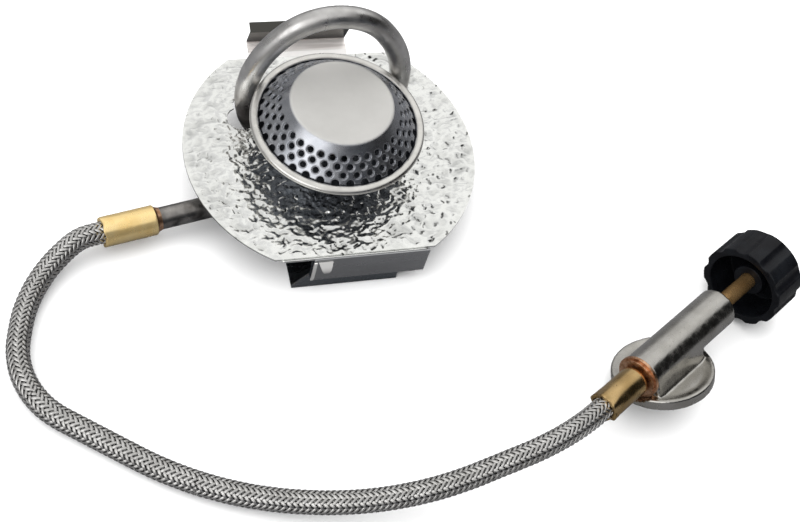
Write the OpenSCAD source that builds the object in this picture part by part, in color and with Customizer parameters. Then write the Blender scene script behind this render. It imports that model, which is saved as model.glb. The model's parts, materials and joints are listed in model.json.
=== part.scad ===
// Remote-canister camping gas burner: a perforated burner head on a heat shield with
// spring clips, a pre-heating tube looped over the flame ring, a braided hose and a
// canister valve with a black knob.
// +Z is up. The origin is on the burner's axis, at the plane the object rests on.

/* [Burner head] */
// Outside diameter of the bowl's rolled rim
rim_d = 63; // [58:1:66]
// Height of the rolled rim above the floor
rim_h = 35.6; // [34:0.2:38]
// Height of the cap's flat disc above the rim
cap_rise = 11.4; // [9:0.2:12]
// Number of flame holes in one row
holes_per_row = 33; // [24:1:34]
// Diameter of a flame hole
hole_d = 2.8; // [1.5:0.1:2.8]
// Outside diameter of the mixing tube
mix_d = 15; // [14:0.5:16]

/* [Heat shield and brackets] */
// Diameter of the heat shield
shield_d = 108; // [100:1:120]
// Height of the shield's top face above the floor
shield_h = 20; // [19:0.5:22]
// Distance from the axis to the shield's front flat
front_flat = 46.4; // [44:0.2:48]
// Distance from the axis to the shield's back flat
back_flat = 44; // [42:0.2:46]
// Thickness of the sheet metal
sheet_t = 0.8; // [0.6:0.1:1]
// Width of the base bracket and of the rear clip
bracket_w = 39; // [30:1:40]
// Sideways offset of the brackets from the burner's axis
bracket_shift = -1.5; // [-3:0.5:3]

/* [Pre-heating tube] */
// Outside diameter of the gas tube
tube_d = 8; // [7:0.5:8]
// Wall thickness of the gas tube
tube_wall = 1; // [0.8:0.1:1.5]
// Distance of the loop's plane behind the burner's axis
loop_y = 22; // [22:0.5:24]
// Half of the loop's widest span, at the tube's centreline
loop_half_w = 28.8; // [28:0.2:31]
// Bend radius over the top of the loop
loop_top_r = 23.7; // [22:0.1:25]
// Bend radius of the loop's shoulders
loop_side_r = 45.5; // [40:0.5:48]
// Height of the loop's widest point above the floor
loop_waist_h = 28; // [26:0.5:30]
// Height of the feed run's centreline above the floor
feed_h = 10; // [9.5:0.1:10.5]

/* [Hose] */
// Outside diameter of the steel braid
hose_d = 8; // [7.6:0.1:8.6]
// Outside diameter of the rubber liner
liner_d = 6; // [5:0.1:6.2]
// Bore of the rubber liner
liner_bore = 3.5; // [3:0.1:4]
// Outside diameter of the crimped ferrules
ferrule_d = 10.8; // [10.4:0.1:11.4]
// Length of a crimped ferrule
ferrule_l = 19; // [17:0.5:20]

/* [Canister valve] */
// Diameter of the valve's cast barrel
barrel_d = 15; // [14.5:0.1:16]
// Length of the valve's cast barrel
barrel_l = 48; // [46:0.5:50]
// Diameter of the round canister flange
flange_d = 36.2; // [34:0.2:38]
// Thickness of the canister flange
flange_t = 4.2; // [3.6:0.1:5]
// Major diameter of the 7/16-28 canister thread
thread_d = 11.1; // [11:0.1:11.2]
// Diameter of the valve spindle
spindle_d = 6; // [5:0.1:6.4]
// Outside diameter of the control knob
knob_d = 32; // [28:0.5:32]
// Length of the control knob
knob_l = 17; // [15:0.5:20]
// Number of finger flutes round the knob
knob_flutes = 10; // [8:1:12]

/* [Hidden] */
$fn = 64;
fit = 0.04;
hair = 0.06;
running = 0.08;

// ---- Vectors and bent tubes ----

function unit(v) = v / norm(v);
// The turn, in degrees, between two directions
function turn(u, v) = acos(max(-1, min(1, unit(u) * unit(v))));
// Any direction square to u
function square_to(u) = unit(abs(u.z) < 0.9 ? cross(u, [0, 0, 1]) : cross(u, [1, 0, 0]));
// How far a bend of radius r reaches from its corner
function setback(p, q, s, r) = r * tan(turn(q - p, s - q) / 2);

// Places a child's X, Y and Z along three square directions, at point o
module place(x, y, z, o) {
    multmatrix([[x.x, y.x, z.x, o.x], [x.y, y.y, z.y, o.y], [x.z, y.z, z.z, o.z],
                [0, 0, 0, 1]])
        children();
}

// A straight bar from p to q
module bar(p, q, d) {
    u = unit(q - p);
    side = square_to(u);
    place(side, cross(u, side), u, p) cylinder(h = norm(q - p), d = d, $fn = 32);
}

// The bend of radius r at corner q, between points p and s. It is a hair thicker than the
// bars, so that it takes in their ends.
module elbow(p, q, s, r, d) {
    u = unit(q - p);
    n = unit(cross(u, s - q));
    m = cross(n, u);
    centre = q - u * setback(p, q, s, r) + m * r;
    place(-m, u, n, centre)
        rotate_extrude(angle = turn(u, s - q), $fn = 96)
            translate([r, 0]) circle(d = d + hair, $fn = 32);
}

// A round bar through the points, bent to radii[i] at each inner point, and longer
// by over at both ends
module bent_bar(points, radii, d, over = 0) {
    last = len(points) - 1;
    lap = 0.3;
    reach = [for (i = [0 : last])
        i == 0 || i == last ? -over
            : setback(points[i - 1], points[i], points[i + 1], radii[i]) - lap];
    for (i = [0 : last - 1]) {
        u = unit(points[i + 1] - points[i]);
        bar(points[i] + u * reach[i], points[i + 1] - u * reach[i + 1], d);
    }
    for (i = [1 : last - 1])
        elbow(points[i - 1], points[i], points[i + 1], radii[i], d);
}

// A hollow bent tube
module bent_tube(points, radii, outer, inner) {
    difference() {
        bent_bar(points, radii, outer);
        bent_bar(points, radii, inner, 1);
    }
}

// ---- Sections ----

// Points along an arc, from angle a0 to a1
function arc(centre, r, a0, a1, n) =
    [for (i = [0 : n]) centre + r * [cos(a0 + (a1 - a0) * i / n),
                                     sin(a0 + (a1 - a0) * i / n)]];

// A ring with its axis along +Z, from z0 to z1
module ring(outer, inner, z0, z1) {
    translate([0, 0, z0]) difference() {
        cylinder(h = z1 - z0, d = outer);
        translate([0, 0, -1]) cylinder(h = z1 - z0 + 2, d = inner);
    }
}

// A rod with its axis along +Z, from z0 to z1
module rod(d, z0, z1) {
    translate([0, 0, z0]) cylinder(h = z1 - z0, d = d);
}

// The unit normal of the step from p to q, in the plane
function normal(p, q) = unit([p.y - q.y, q.x - p.x]);

// The mitre at point i of a folded line, which is half a sheet of thickness t away
function mitre(points, i, t) =
    let (last = len(points) - 1,
         before = normal(points[max(i - 1, 0)], points[max(i, 1)]),
         after = normal(points[min(i, last - 1)], points[min(i + 1, last)]),
         middle = unit(before + after))
    middle * t / 2 / (middle * after);

// The section of a folded strip of thickness t through the points
module fold(points, t) {
    last = len(points) - 1;
    polygon(concat([for (i = [0 : last]) points[i] + mitre(points, i, t)],
                   [for (i = [last : -1 : 0]) points[i] - mitre(points, i, t)]));
}

// A strip folded in the YZ plane and as wide as w, centred on x
module folded_strip(points, t, w, x) {
    translate([x - w / 2, 0, 0]) rotate([90, 0, 90]) linear_extrude(w) fold(points, t);
}

// ---- Burner head ----

rim_w = 3.3;
cap_r = rim_d / 2 - rim_w;
cap_base = rim_h + 0.7;
cap_top = rim_h + cap_rise;
cap_sheet = 0.6;
shoulder_r = 2;
cap_disc_r = cap_r - (cap_top - cap_base) + shoulder_r * tan(22.5);
mix_bore = mix_d - 1.6;
mix_base = 11.5;
bowl_floor = 23;
row_first = 0.5;
row_step = 2.9;
row_count = 4;

// The region under the cap's outer face
module cap_region() {
    bend = [cap_disc_r - shoulder_r * tan(22.5), cap_top - shoulder_r];
    polygon(concat([[0, cap_base], [cap_r, cap_base]],
                   arc(bend, shoulder_r, 45, 90, 5), [[0, cap_top]]));
}

// Domed cap: a flat disc on a 45 degree cone with rows of flame holes. The rim half
// covers the lowest row.
module burner_cap() {
    color("silver") difference() {
        rotate_extrude() difference() {
            cap_region();
            translate([0, -cap_sheet * sqrt(2)]) cap_region();
        }
        for (row = [0 : row_count - 1]) {
            along = (row_first + row * row_step) / sqrt(2);
            for (i = [0 : holes_per_row - 1])
                rotate([0, 0, (i + (row + 1) / 2) * 360 / holes_per_row])
                    translate([cap_r - along, 0, cap_base + along]) rotate([0, 45, 0])
                        cylinder(h = 4, d = hole_d, center = true, $fn = 24);
        }
    }
}

// The region inside the bowl, narrowed by in and raised by -drop
module bowl_region(in, drop) {
    neck = 9.5;
    polygon([[0, bowl_floor - drop], [neck - in, bowl_floor - drop],
             [cap_r - 2 - in, rim_h - 4], [cap_r - in + 0.8, rim_h - 1.2],
             [cap_r - in + 0.8, rim_h + 1], [0, rim_h + 1]]);
}

// Pressed bowl with a rolled rim that holds the cap, and a neck on the mixing tube
module burner_bowl() {
    roll = 1.2;
    color("gainsboro") difference() {
        rotate_extrude() {
            difference() {
                bowl_region(0, 0);
                bowl_region(0.8, -0.8);
                translate([0, rim_h - 0.2]) square([rim_d, 5]);
            }
            translate([rim_d / 2 - roll, rim_h]) circle(r = roll);
            translate([rim_d / 2 - rim_w + roll, rim_h]) circle(r = roll);
            translate([rim_d / 2 - rim_w + roll, rim_h - roll])
                square([rim_w - 2 * roll, 2 * roll]);
        }
        rod(mix_d + 2 * fit, bowl_floor - 1, bowl_floor + 3);
        rod(2 * cap_r + 2 * fit, cap_base - 0.7, cap_base + 3);
    }
}

// Mixing tube with four air windows above the jet
module mixing_tube() {
    window_w = 5;
    color("lightgray") difference() {
        union() {
            rod(mix_d, mix_base, bowl_floor + 1.6);
            rod(mix_d + 6, shield_h - sheet_t - 1, shield_h - sheet_t);
        }
        rod(mix_bore, mix_base - 1, bowl_floor + 3);
        for (i = [0 : 1]) rotate([0, 0, 45 + 90 * i])
            translate([-mix_d, -window_w / 2, 14]) cube([2 * mix_d, window_w, 3.6]);
    }
}

// Nut that clamps the shield on the mixing tube
module tube_nut() {
    color("lightgray") difference() {
        translate([0, 0, shield_h]) cylinder(h = 2.4, d = 22, $fn = 6);
        rod(mix_d + 2 * fit, shield_h - 1, shield_h + 4);
    }
}

// ---- Jet ----

block_d = mix_bore - 2 * fit;
return_h = 7;
jet_shank = 5;
jet_seat = 12.5;

// Jet with its fine bore
module jet_nozzle() {
    color("goldenrod") difference() {
        union() {
            rod(jet_shank - 2 * fit, jet_seat - 3, jet_seat);
            translate([0, 0, jet_seat]) cylinder(h = 2, d = 7, $fn = 6);
            translate([0, 0, jet_seat + 2]) cylinder(h = 1.5, d1 = 4, d2 = 2.4);
        }
        rod(2, jet_seat - 4, jet_seat + 1.5);
        rod(0.6, jet_seat - 4, jet_seat + 5);
    }
}

// Brass block under the mixing tube, fed by the loop's return leg
module jet_block() {
    color("goldenrod") difference() {
        union() {
            rod(block_d + 3, 1.2, mix_base);
            rod(block_d, mix_base, jet_seat);
            rod(6, sheet_t + fit, 1.2);
        }
        rod(jet_shank, return_h, jet_seat + 1);
        bar(return_end + return_dir * 0.1, return_end - return_dir * 4,
            tube_d + 2 * fit);
        bar([0, 0, return_h], return_end, jet_shank - 1);
    }
}

// ---- Pre-heating tube ----

hose_start = [-85, -22, feed_h];
feed_heading = 10.5;
feed_dir = [cos(feed_heading), sin(feed_heading), 0];
feed_side_y = -14;
top_half_turn = 50;
left_lean = 12;
side_turn = 90 - top_half_turn;
tube_end = hose_start + feed_dir * (ferrule_l - 6);
feed_bend = [-38, hose_start.y + (hose_start.x + 38) * -tan(feed_heading), feed_h];
right_x = loop_half_w;
right_corner = [right_x, loop_y, loop_waist_h + loop_side_r * tan(side_turn / 2)];
top_corner = [0, loop_y, right_corner.z + right_x * tan(top_half_turn)];
left_turn = side_turn + left_lean;
left_span = loop_side_r * (tan(side_turn / 2) - tan(left_turn / 2));
left_corner = [-right_x + left_span * cos(top_half_turn), loop_y,
               right_corner.z + left_span * sin(top_half_turn)];
elbow_low = [left_corner.x + (left_corner.z - return_h) * tan(left_lean), loop_y,
             return_h];
return_dir = unit([-elbow_low.x, -elbow_low.y, 0]);
return_end = [0, 0, return_h] - return_dir * 6;

tube_points = [tube_end, feed_bend, [right_x, feed_bend.y, feed_h],
               [right_x, loop_y, feed_h], right_corner, top_corner, left_corner,
               elbow_low, return_end];
// Keeps a short straight between neighbouring bends of the loop
slack = 0.6;
tube_radii = [0, 30, 16, 12, loop_side_r - slack, loop_top_r - slack,
              loop_side_r - slack, 11, 0];

// One tube: feed run, right leg, loop over the flame, left leg and return to the jet
module vaporiser_tube() {
    color("darkgray")
        bent_tube(tube_points, tube_radii, tube_d, tube_d - 2 * tube_wall);
}

// ---- Heat shield and brackets ----

// Where the tube's left and right legs cross the shield
legs_x = [elbow_low.x - (shield_h - return_h) * tan(left_lean), right_x];
slot_d = 10.4;
slot_out = 2.6;
slot_forward = 6;

// Keyhole round a leg, which opens forwards so that the bent tube can be threaded in
module leg_slot(x) {
    translate([0, 0, shield_h - 2]) linear_extrude(4) {
        translate([x, loop_y]) circle(d = tube_d + 1.6);
        translate([x + sign(x) * slot_out, loop_y - slot_forward]) circle(d = slot_d);
    }
}

// Round shield with two flats, a hemmed front edge and slots for the tube's legs
module heat_shield() {
    bottom = shield_h - sheet_t;
    color("whitesmoke") difference() {
        intersection() {
            rod(shield_d, bottom, shield_h);
            translate([-shield_d, -front_flat, 0])
                cube([2 * shield_d, front_flat + back_flat, shield_h + 1]);
        }
        rod(mix_d + 2 * fit, bottom - 1, shield_h + 1);
        for (x = legs_x) leg_slot(x);
    }
}

wall_gap = 0.3;
front_wall_y = -front_flat + 1.1;
rear_wall_y = 38.4;
half_t = sheet_t / 2;
under_shield = shield_h - sheet_t - half_t - fit;

// Takes the front wall's left corner off, from the base's corner up to the shield
module front_corner_cut() {
    left = bracket_shift - bracket_w / 2;
    cut_w = 5.5;
    cut_h = 8;
    translate([left, front_wall_y + 9, 0]) rotate([90, 0, 0]) linear_extrude(12)
        polygon([[-1, sheet_t], [0, sheet_t], [cut_w, cut_h], [cut_w, shield_h],
                 [-1, shield_h]]);
}

// Sheet bracket under the shield: a base, two walls and two flanges
module base_bracket() {
    flange_l = 7;
    color("dimgray") difference() {
        folded_strip([[front_wall_y + flange_l, under_shield],
                      [front_wall_y, under_shield], [front_wall_y, half_t],
                      [rear_wall_y, half_t], [rear_wall_y, under_shield],
                      [rear_wall_y - flange_l, under_shield]],
                     sheet_t, bracket_w, bracket_shift);
        front_corner_cut();
        // Notch that lets the rear clip's foot reach the base
        translate([bracket_shift, rear_wall_y + 1, 8])
            cube([16, 6, 8], center = true);
    }
}

clip_x = 6;
clip_w = 42;

// Stiff front tab, hooked over the bracket's front wall
module front_clip() {
    y = front_wall_y - half_t - wall_gap - half_t;
    color("slategray")
        folded_strip([[y, 6], [y, under_shield + 0.4]], sheet_t, clip_w, clip_x);
}

hinge_y = rear_wall_y + 2;
hinge_h = 3;
ledge = [53.7, 11.2];

// Sprung rear clip with a finger tab
module rear_clip() {
    color("gainsboro")
        folded_strip([[hinge_y, hinge_h], ledge, ledge + [5.5, 0.8],
                      ledge + [1.7, 10.7], ledge + [5.3, 12]],
                     sheet_t, bracket_w, bracket_shift);
}

// ---- Hose ----

hose_low = 4.4;
crimp_l = 5;
joint_gap = 0.5;
braid_bore = liner_d + 2 * fit;
valve_at = [69.7, -117, 23.2];
valve_heading = 30.9;
valve_droop = 4;
valve_roll = -28;
valve_dir = [cos(valve_heading) * cos(valve_droop),
             sin(valve_heading) * cos(valve_droop), -sin(valve_droop)];

// Corners of the hose's path, and the radius of the bend at each
hose_points = [hose_start + feed_dir * crimp_l, hose_start - feed_dir * 8,
               [-111, -36.6, hose_low], [-119.8, -76.3, hose_low],
               [-60.6, -121.9, hose_low], [-3.5, -136.3, 11.4],
               valve_at - valve_dir * 17.3, valve_at + valve_dir * crimp_l];
hose_radii = [0, 16, 42, 31, 132, 132, 66, 0];

// Where the path's bend i starts and ends
function bend_start(i) = hose_points[i] - unit(hose_points[i] - hose_points[i - 1])
    * setback(hose_points[i - 1], hose_points[i], hose_points[i + 1], hose_radii[i]);
function bend_end(i) = hose_points[i] + unit(hose_points[i + 1] - hose_points[i])
    * setback(hose_points[i - 1], hose_points[i], hose_points[i + 1], hose_radii[i]);
// The flex point between bend i and bend i + 1
function flex_point(i) = (bend_end(i) + bend_start(i + 1)) / 2;
function flex_dir(i) = unit(hose_points[i + 1] - hose_points[i]);

// Length of hose i, between the flex points on either side of bend i
module hose_length(i, outer, inner) {
    start = i == 1 ? hose_points[0] : flex_point(i - 1) + flex_dir(i - 1) * joint_gap;
    end = i == 6 ? hose_points[7] : flex_point(i) - flex_dir(i) * joint_gap;
    bent_tube([start, hose_points[i], end], [0, hose_radii[i], 0], outer, inner);
}

module hose_liner(i) {
    color("black") hose_length(i, liner_d, liner_bore);
}

module hose_braid(i) {
    color("silver") hose_length(i, hose_d, braid_bore);
}

module hose_liner_1() { hose_liner(1); }
module hose_liner_2() { hose_liner(2); }
module hose_liner_3() { hose_liner(3); }
module hose_liner_4() { hose_liner(4); }
module hose_liner_5() { hose_liner(5); }
module hose_liner_6() { hose_liner(6); }
module hose_braid_1() { hose_braid(1); }
module hose_braid_2() { hose_braid(2); }
module hose_braid_3() { hose_braid(3); }
module hose_braid_4() { hose_braid(4); }
module hose_braid_5() { hose_braid(5); }
module hose_braid_6() { hose_braid(6); }

// ---- Hose ends ----

// Puts a child's +X along the burner end of the hose, towards the burner
module at_burner_end() {
    translate(hose_start) rotate([0, 0, feed_heading]) rotate([0, 90, 0]) children();
}

// Puts a child's +Z along the valve's axis, and its +X away from the canister
module at_valve() {
    translate(valve_at) rotate([0, 0, valve_heading]) rotate([0, valve_droop, 0])
        rotate([valve_roll, 0, 0]) rotate([0, 90, 0]) rotate([0, 0, 180]) children();
}

nipple_d = liner_bore - 2 * fit;
mouth = hose_d + 2 * fit;

module burner_ferrule() {
    color("goldenrod") at_burner_end() difference() {
        rod(ferrule_d, 0, ferrule_l);
        rod(mouth, -1, crimp_l + 0.5);
        rod(tube_d + 2 * fit, 0, ferrule_l + 1);
    }
}

// Nipple inside the burner end of the hose
module burner_nipple() {
    color("gold") at_burner_end() {
        ring(tube_d, 2, crimp_l + 1, ferrule_l - 6.2);
        ring(nipple_d, 2, 0.5, crimp_l + 1.1);
    }
}

// Braze fillet between the ferrule and the gas tube
module braze_ring() {
    color("peru") at_burner_end() rotate_extrude()
        polygon([[tube_d / 2 + fit, ferrule_l], [ferrule_d / 2 - 0.2, ferrule_l],
                 [ferrule_d / 2 - 0.9, ferrule_l + 0.7],
                 [tube_d / 2 + fit, ferrule_l + 2]]);
}

module valve_ferrule() {
    color("goldenrod") at_valve() difference() {
        rod(ferrule_d, 0, ferrule_l - 1);
        rod(mouth, -1, crimp_l + 0.5);
        rod(nipple_d + 2 * fit, 0, ferrule_l);
    }
}

swivel_face = ferrule_l + 2;
collar_d = 7;

// Brass nipple that the valve turns on
module swivel_nipple() {
    color("gold") at_valve() difference() {
        union() {
            rod(nipple_d, 0.5, ferrule_l - 0.9);
            rod(collar_d, ferrule_l - 0.9, swivel_face + 4);
            rod(collar_d + 2, swivel_face + 4, swivel_face + 6);
        }
        rod(1.6, 0, swivel_face + 7);
    }
}

// Ring pressed in the end of the valve's barrel, round the nipple
module swivel_ring() {
    step = 1;
    color("peru") at_valve() difference() {
        union() {
            rod(barrel_d + 0.8, swivel_face - step, swivel_face);
            rod(barrel_d - 0.8, swivel_face - 2 * step, swivel_face - step);
            rod(barrel_d - 3 - 2 * fit, swivel_face, swivel_face + 3);
        }
        rod(collar_d + 2 * running, swivel_face - 5, swivel_face + 5);
    }
}

// ---- Valve ----

barrel_end = swivel_face + barrel_l;
flange_at = 34.6;
flange_top = 5.6;
flange_bottom = flange_top + flange_t;
dish_depth = 0.8;
dish_d = flange_d - 7;
dish_slope = 2.3;
web_d = barrel_d + 2.2;
web_l = 2 * (flange_at - swivel_face);
seat_at = 47;
seal_groove = barrel_end - 4;
knob_at = 84;

socket_floor = 2.2;
thread_start = 5;
relief_d = thread_d + 1;

// Places a child's +Z along the canister's axis, out of the valve
module at_socket() {
    at_valve() translate([0, 0, flange_at]) rotate([0, -90, 0]) children();
}

// Round canister flange with a dished top face
module flange() {
    difference() {
        rod(flange_d, flange_top, flange_bottom);
        translate([0, 0, flange_top - dish_depth])
            cylinder(h = 2 * dish_depth, d1 = dish_d + 4 * dish_slope, d2 = dish_d);
    }
}

// Flared web that joins the barrel to its flange
module flange_web() {
    foot = flange_top + dish_depth + 1;
    translate([swivel_face - flange_at, 0, 0]) rotate([90, 0, 90]) linear_extrude(web_l)
        polygon([[-barrel_d / 2, 0], [barrel_d / 2, 0], [web_d / 2, foot], [-web_d / 2, foot]]);
}

// Cast valve body: a barrel, a round flange and a canister socket
module valve_body() {
    color("silver") difference() {
        union() {
            at_valve() rod(barrel_d, swivel_face, barrel_end);
            at_socket() {
                flange();
                flange_web();
            }
        }
        at_valve() {
            rod(barrel_d - 3, swivel_face - 1, swivel_face + 3);
            rod(collar_d + 2.4, swivel_face - 1, swivel_face + 6.6);
            rod(barrel_d + 1.2, swivel_face - ferrule_l, swivel_face);
            rod(2, swivel_face, seat_at + 1);
            rod(spindle_d + 2 * running, seat_at, barrel_end + 1);
            rod(spindle_d + 3, barrel_end - 1.2, barrel_end + 1);
        }
        at_socket() {
            rod(thread_d, socket_floor, flange_bottom + 1);
            rod(relief_d, socket_floor, thread_start);
            rod(2, -1, 3);
        }
    }
}

// Rubber seal at the bottom of the canister socket
module canister_seal() {
    color("black") at_socket() ring(thread_d, 6, socket_floor + fit, 4);
}

// Pin that opens the canister's own valve
module pin_depressor() {
    color("gold") at_socket() difference() {
        union() {
            rod(5.6, socket_floor + fit, 3.2);
            rod(2.6, 3.2, thread_start - 0.1);
        }
        rod(1, 1, 7);
    }
}

// Fine filter disc in the gas passage
module inlet_filter() {
    color("gray") at_socket() rod(1.9, 1, socket_floor);
}

// Threaded spindle with a needle tip
module spindle() {
    color("darkgoldenrod") at_valve() {
        translate([0, 0, seat_at + 1]) cylinder(h = 4, d1 = 1.2, d2 = spindle_d);
        rod(spindle_d, seat_at + 5, seal_groove - 1);
        rod(spindle_d - 2, seal_groove - 1.1, seal_groove + 1.1);
        rod(spindle_d, seal_groove + 1, knob_at + knob_l - 3);
    }
}

// O-ring in the spindle's groove
module spindle_seal() {
    section = 0.49;
    color("black") at_valve() translate([0, 0, seal_groove]) rotate_extrude()
        translate([spindle_d / 2 - 0.98 + section, 0]) circle(r = section);
}

// Fluted hollow knob pressed on the spindle
module control_knob() {
    flute_r = 4;
    far = knob_at + knob_l;
    wall = 3;
    color([0.08, 0.08, 0.09]) at_valve() difference() {
        union() {
            rod(knob_d, knob_at, far - 1.5);
            translate([0, 0, far - 1.5]) cylinder(h = 1.5, d1 = knob_d, d2 = knob_d - 3);
        }
        difference() {
            rod(knob_d - 2 * wall, knob_at - 1, far - wall);
            rod(spindle_d + 6, knob_at + 5, far);
        }
        rod(spindle_d + 2 * 0.02, knob_at - 1, far - 2.9);
        for (i = [0 : knob_flutes - 1]) rotate([0, 0, i * 360 / knob_flutes])
            translate([knob_d / 2 + flute_r - 1, 0, 0])
                rod(2 * flute_r, knob_at - 1, far + 1);
    }
}

burner_cap();
burner_bowl();
mixing_tube();
tube_nut();
jet_nozzle();
jet_block();
vaporiser_tube();
heat_shield();
base_bracket();
front_clip();
rear_clip();
braze_ring();
burner_ferrule();
burner_nipple();
hose_liner_1();
hose_liner_2();
hose_liner_3();
hose_liner_4();
hose_liner_5();
hose_liner_6();
hose_braid_1();
hose_braid_2();
hose_braid_3();
hose_braid_4();
hose_braid_5();
hose_braid_6();
valve_ferrule();
swivel_nipple();
swivel_ring();
valve_body();
canister_seal();
pin_depressor();
inlet_filter();
spindle_seal();
spindle();
control_knob();
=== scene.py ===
import json
import math

import bpy
import numpy as np
from mathutils import Matrix, Vector, noise

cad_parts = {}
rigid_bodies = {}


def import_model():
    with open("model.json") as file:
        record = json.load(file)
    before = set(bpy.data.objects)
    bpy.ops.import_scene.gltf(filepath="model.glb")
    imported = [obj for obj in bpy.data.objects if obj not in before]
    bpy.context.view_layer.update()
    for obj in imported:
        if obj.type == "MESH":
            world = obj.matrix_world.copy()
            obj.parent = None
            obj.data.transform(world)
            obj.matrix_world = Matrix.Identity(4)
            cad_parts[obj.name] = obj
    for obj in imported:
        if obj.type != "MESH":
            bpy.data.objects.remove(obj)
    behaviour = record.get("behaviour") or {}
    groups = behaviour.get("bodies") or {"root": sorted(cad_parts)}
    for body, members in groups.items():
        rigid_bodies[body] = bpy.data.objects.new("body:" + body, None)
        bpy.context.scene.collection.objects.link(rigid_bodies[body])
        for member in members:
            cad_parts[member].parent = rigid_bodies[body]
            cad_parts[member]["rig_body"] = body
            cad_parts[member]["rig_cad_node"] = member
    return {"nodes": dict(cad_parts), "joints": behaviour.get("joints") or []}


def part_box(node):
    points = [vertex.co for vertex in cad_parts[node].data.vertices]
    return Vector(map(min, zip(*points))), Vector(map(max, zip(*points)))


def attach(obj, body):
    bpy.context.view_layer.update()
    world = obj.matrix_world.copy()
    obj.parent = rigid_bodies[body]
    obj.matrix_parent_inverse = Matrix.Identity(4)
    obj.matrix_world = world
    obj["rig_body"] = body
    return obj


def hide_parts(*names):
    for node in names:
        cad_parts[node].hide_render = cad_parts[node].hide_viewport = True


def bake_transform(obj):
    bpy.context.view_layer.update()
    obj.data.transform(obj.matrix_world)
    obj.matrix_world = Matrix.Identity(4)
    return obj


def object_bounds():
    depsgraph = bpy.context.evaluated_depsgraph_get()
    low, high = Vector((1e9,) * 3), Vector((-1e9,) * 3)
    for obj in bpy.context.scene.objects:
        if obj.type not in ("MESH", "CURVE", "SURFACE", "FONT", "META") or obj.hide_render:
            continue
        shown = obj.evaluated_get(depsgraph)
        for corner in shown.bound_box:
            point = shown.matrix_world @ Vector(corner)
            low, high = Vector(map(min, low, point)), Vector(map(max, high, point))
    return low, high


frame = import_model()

cad_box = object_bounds()
nodes = frame["nodes"]
MM = 0.001
TAU = 2 * math.pi


# ---- Meshes ----

def new_piece(name, vertices, faces, smooth=True):
    """A mesh object from points in metres."""
    mesh = bpy.data.meshes.new(name)
    mesh.from_pydata([tuple(v) for v in vertices], [], [tuple(f) for f in faces])
    mesh.validate()
    if smooth:
        mesh.shade_smooth()
    piece = bpy.data.objects.new(name, mesh)
    bpy.context.scene.collection.objects.link(piece)
    return piece


def finish_piece(piece, material, body, slot, *stands_for):
    """Gives a piece its material, the body it rides on and the nodes it replaces. Its slot argument is not
    used.
    """
    piece.data.materials.clear()
    piece.data.materials.append(material)
    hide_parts(*stands_for)
    if body:
        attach(piece, body)


def axes_along(direction):
    """Two unit vectors square to direction and to each other."""
    along = np.array(direction, float) / np.linalg.norm(direction)
    side = np.cross(along, (0, 0, 1))
    side /= np.linalg.norm(side)
    return side, np.cross(side, along)


def loop_faces(rings, points, closed_ends=False):
    """Quads between rings of points; the rings join up end to end unless the ends are capped."""
    count = rings - 1 if closed_ends else rings
    faces = []
    for i in range(count):
        a, b = i * points, (i + 1) % rings * points
        faces += [(a + j, a + (j + 1) % points, b + (j + 1) % points, b + j) for j in range(points)]
    if closed_ends:
        faces.append(tuple(reversed(range(points))))
        faces.append(tuple(range((rings - 1) * points, rings * points)))
    return faces


def faces_with_sides(faces, count):
    """Turns a sheet of faces into a closed one: copy, offset by count points, plus its edge walls."""
    edges = dict.fromkeys(pair for face in faces for pair in zip(face, face[1:] + face[:1]))
    under = [tuple(v + count for v in reversed(f)) for f in faces]
    walls = [(a + count, b + count, b, a) for a, b in edges if (b, a) not in edges]
    return faces + under + walls


def revolve(name, outline, origin, axis, steps, shape=None):
    """Turns a closed outline of (along, radius) points round an axis. shape moves a point by its angle."""
    side, up = axes_along(axis)
    along = np.array(axis, float) / np.linalg.norm(axis)
    vertices = []
    for k in range(steps):
        angle = TAU * k / steps
        spoke = side * math.cos(angle) + up * math.sin(angle)
        for s, r in outline:
            if shape:
                s, r = shape(s, r, angle)
            vertices.append((np.array(origin) + along * s * MM + spoke * r * MM))
    return new_piece(name, vertices, loop_faces(steps, len(outline)))


def shade_by_angle(piece, degrees):
    """Smooth shading, with a crease where faces meet at more than this angle."""
    piece.data.set_sharp_from_angle(angle=math.radians(degrees))


def softened(name, node, voxel, passes):
    """A copy of a CAD node whose edges are rounded as a casting's or a moulding's are."""
    piece = nodes[node].copy()
    piece.data = nodes[node].data.copy()
    piece.name = name
    piece.parent = None
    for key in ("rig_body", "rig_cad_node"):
        del piece[key]
    bpy.context.scene.collection.objects.link(piece)
    remesh = piece.modifiers.new("remesh", "REMESH")
    remesh.mode = "VOXEL"
    remesh.voxel_size = voxel * MM
    smooth = piece.modifiers.new("smooth", "SMOOTH")
    smooth.iterations = passes
    bpy.context.view_layer.update()
    made = bpy.data.meshes.new_from_object(piece.evaluated_get(bpy.context.evaluated_depsgraph_get()))
    piece.modifiers.clear()
    piece.data = made
    made.shade_smooth()
    return piece


# ---- Places read from the frame ----

def mesh_arrays(node):
    """Where each face corner of a node is, and its normal."""
    mesh = nodes[node].data
    points = np.zeros(len(mesh.vertices) * 3, np.float32)
    mesh.vertices.foreach_get("co", points)
    corners = np.zeros(len(mesh.loops), np.int32)
    mesh.loops.foreach_get("vertex_index", corners)
    normals = np.zeros(len(mesh.loops) * 3, np.float32)
    mesh.corner_normals.foreach_get("vector", normals)
    return points.reshape(-1, 3)[corners].astype(float), normals.reshape(-1, 3).astype(float)


RING_CELL = 0.3             # centres closer than this belong to one ring
RING_LEAST = 24             # corners that make a ring
RING_GAP = 0.6              # least distance between two rings of a bar


def ring_centres(node, radius):
    """The centres of the rings of corners round a bar of this radius."""
    places, normals = mesh_arrays(node)
    centres = places - normals * radius * MM
    keys, owner, tally = np.unique(np.round(centres / (RING_CELL * MM)), axis=0,
                                   return_inverse=True, return_counts=True)
    owner = owner.ravel()
    return [centres[owner == k].mean(axis=0) for k in range(len(keys)) if tally[k] >= RING_LEAST]


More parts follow.
